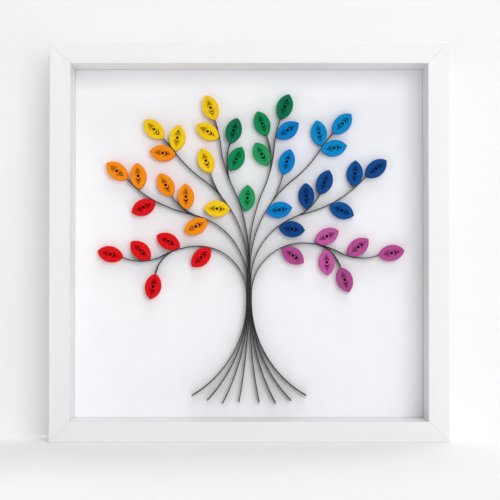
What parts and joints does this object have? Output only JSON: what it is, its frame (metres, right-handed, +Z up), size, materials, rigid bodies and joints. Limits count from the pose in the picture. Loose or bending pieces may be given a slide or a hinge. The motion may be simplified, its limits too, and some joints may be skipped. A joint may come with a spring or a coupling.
{
  "type": "framed quilled paper tree",
  "caption": "Square open-fronted box frame with a quilled tree: paper strips on edge make the roots, trunk and boughs, and coiled paper leaves are glued along them.",
  "frame": {"origin": "middle of the base, on the surface that the bottom rail stands on, at the middle of the depth", "axes": "+Z up, front faces -Y, +X to the right as seen from the front"},
  "size_m": [0.25, 0.0382, 0.25],
  "materials": {
    "red_paper": "matte",
    "orange_paper": "matte",
    "yellow_paper": "matte",
    "green_paper": "matte",
    "light_blue_paper": "matte",
    "dark_blue_paper": "matte",
    "violet_paper": "matte",
    "strip_paper": "matte",
    "white_rail": "satin white paint",
    "picture_card": "matte",
    "hardboard": "matte",
    "point_steel": "satin",
    "hanger_steel": "satin"
  },
  "bodies": {
    "root": {"leaf_red_1": "red_paper", "leaf_red_2": "red_paper", "leaf_red_3": "red_paper", "leaf_red_4": "red_paper", "leaf_red_5": "red_paper", "leaf_red_6": "red_paper", "leaf_orange_1": "orange_paper", "leaf_orange_2": "orange_paper", "leaf_orange_3": "orange_paper", "leaf_orange_4": "orange_paper", "leaf_orange_5": "orange_paper", "leaf_orange_6": "orange_paper", "leaf_yellow_1": "yellow_paper", "leaf_yellow_2": "yellow_paper", "leaf_yellow_3": "yellow_paper", "leaf_yellow_4": "yellow_paper", "leaf_yellow_5": "yellow_paper", "leaf_yellow_6": "yellow_paper", "leaf_green_1": "green_paper", "leaf_green_2": "green_paper", "leaf_green_3": "green_paper", "leaf_green_4": "green_paper", "leaf_green_5": "green_paper", "leaf_green_6": "green_paper", "leaf_light_blue_1": "light_blue_paper", "leaf_light_blue_2": "light_blue_paper", "leaf_light_blue_3": "light_blue_paper", "leaf_light_blue_4": "light_blue_paper", "leaf_light_blue_5": "light_blue_paper", "leaf_light_blue_6": "light_blue_paper", "leaf_dark_blue_1": "dark_blue_paper", "leaf_dark_blue_2": "dark_blue_paper", "leaf_dark_blue_3": "dark_blue_paper", "leaf_dark_blue_4": "dark_blue_paper", "leaf_dark_blue_5": "dark_blue_paper", "leaf_dark_blue_6": "dark_blue_paper", "leaf_violet_1": "violet_paper", "leaf_violet_2": "violet_paper", "leaf_violet_3": "violet_paper", "leaf_violet_4": "violet_paper", "leaf_violet_5": "violet_paper", "leaf_violet_6": "violet_paper", "bough_left_1": "strip_paper", "bough_left_2": "strip_paper", "bough_left_3": "strip_paper", "bough_left_4": "strip_paper", "bough_right_1": "strip_paper", "bough_right_2": "strip_paper", "bough_right_3": "strip_paper", "bough_right_4": "strip_paper", "rail_top": "white_rail", "rail_bottom": "white_rail", "rail_left": "white_rail", "rail_right": "white_rail", "card": "picture_card", "back_board": "hardboard", "framers_points": "point_steel", "hanger": "hanger_steel", "hanger_nails": "hanger_steel"}
  },
  "joints": []
}
